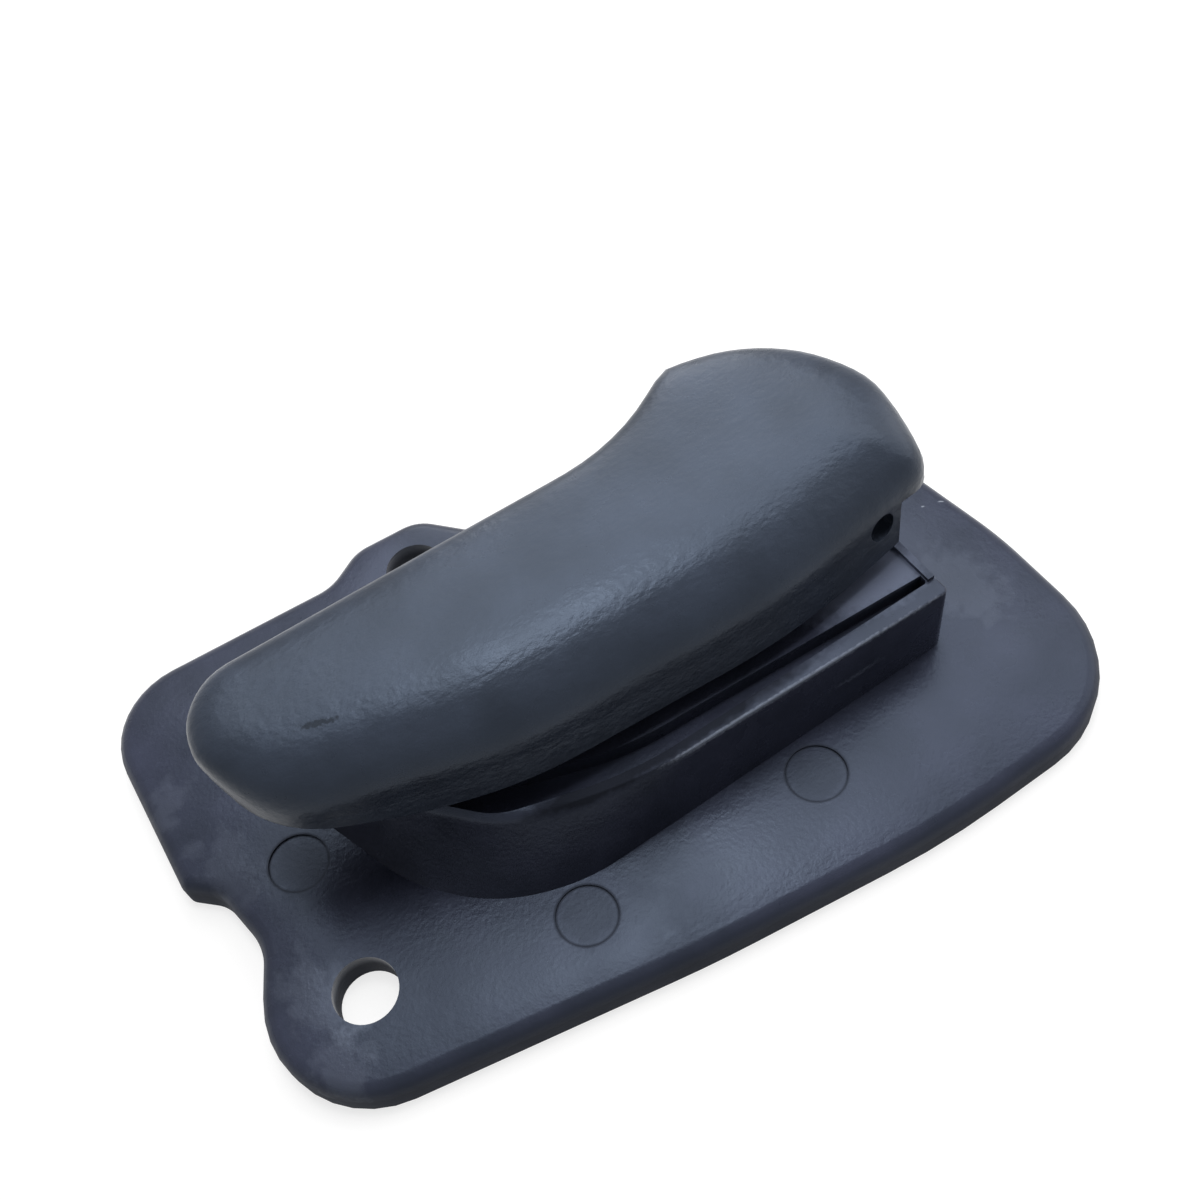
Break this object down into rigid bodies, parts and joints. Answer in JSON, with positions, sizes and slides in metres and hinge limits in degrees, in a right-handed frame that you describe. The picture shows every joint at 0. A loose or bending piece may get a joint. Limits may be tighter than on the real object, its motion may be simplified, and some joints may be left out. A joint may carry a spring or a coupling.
{
  "type": "car interior door handle",
  "caption": "Car interior door opener: a moulded base flange with a plinth, a hinged pull lever on a steel pin, a return spring and a rubber stop.",
  "frame": {"origin": "on the mounting face, at the centre of the round pad that rests on the door's inner panel, near the middle of the part", "axes": "+Z out of the door trim towards the user, +X along the lever from its free end to its hinge, +Y to the lever's rear, the side that the fingers reach behind"},
  "size_m": [0.1189, 0.0857, 0.0345],
  "materials": {
    "base": "moulded ABS, slate grey, fine satin grain",
    "lever": "moulded ABS, slate grey, satin, polished by hands along the shoulder",
    "pivot_pin": "ground steel pin",
    "return_spring": "drawn spring wire",
    "stop_bumper": "black moulded rubber"
  },
  "bodies": {
    "base": {"base": "base", "return_spring": "return_spring", "stop_bumper": "stop_bumper"},
    "lever": {"lever": "lever", "pivot_pin": "pivot_pin"}
  },
  "joints": [
    {"name": "lever_hinge", "type": "hinge", "parent": "base", "child": "lever", "pos_m": [0.038, 0, 0.025], "axis": [0, 1, 0], "range_deg": [0, 35], "stiffness_Nm_per_rad": 0.12, "springref_deg": -34.38, "deforming": ["return_spring"]}
  ]
}
